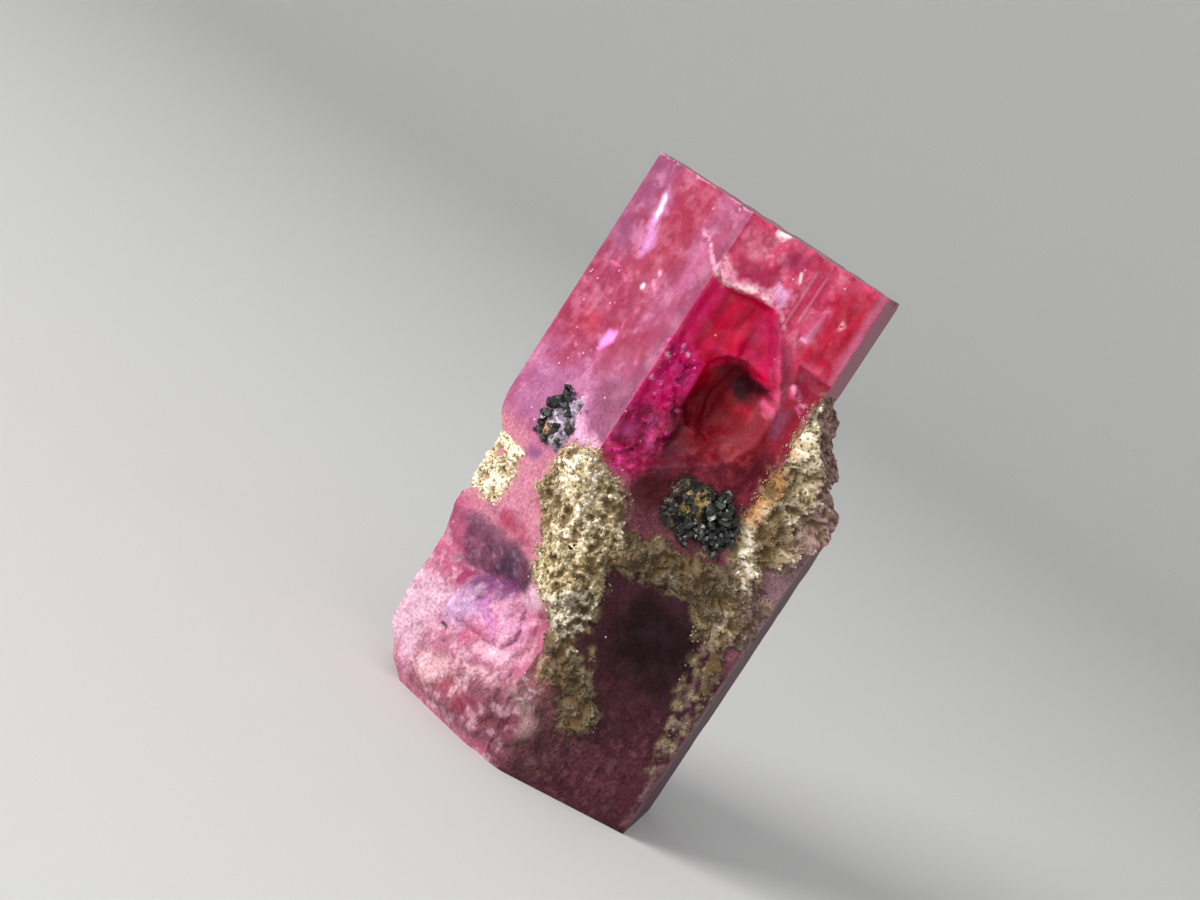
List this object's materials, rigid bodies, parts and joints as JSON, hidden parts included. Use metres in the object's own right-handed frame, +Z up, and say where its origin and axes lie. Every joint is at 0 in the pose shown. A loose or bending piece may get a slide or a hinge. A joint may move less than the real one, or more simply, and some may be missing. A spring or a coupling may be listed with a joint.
{
  "type": "red beryl crystal",
  "caption": "Six-sided red beryl prism with a broken scoop in its front, a wider prism grown on beside it, patches of rock crust and black oxide grains.",
  "frame": {"origin": "middle of the bounding box, on the flat base that the crystal stands on", "axes": "+Z up along the crystal's long axis; the front with the scoop and the crust band faces -Y; the side prism is towards +X"},
  "size_m": [0.0076, 0.0072, 0.0126],
  "materials": {
    "beryl": "vitreous crystal faces, clear at the top and clouded below",
    "crust": "rough, granular, matte",
    "oxide": "small glossy black crystals"
  },
  "bodies": {
    "root": {"red_beryl": "beryl", "matrix_crust": "crust", "matrix_patch_left": "crust", "black_grains_upper": "oxide", "black_grains_lower": "oxide"}
  },
  "joints": []
}
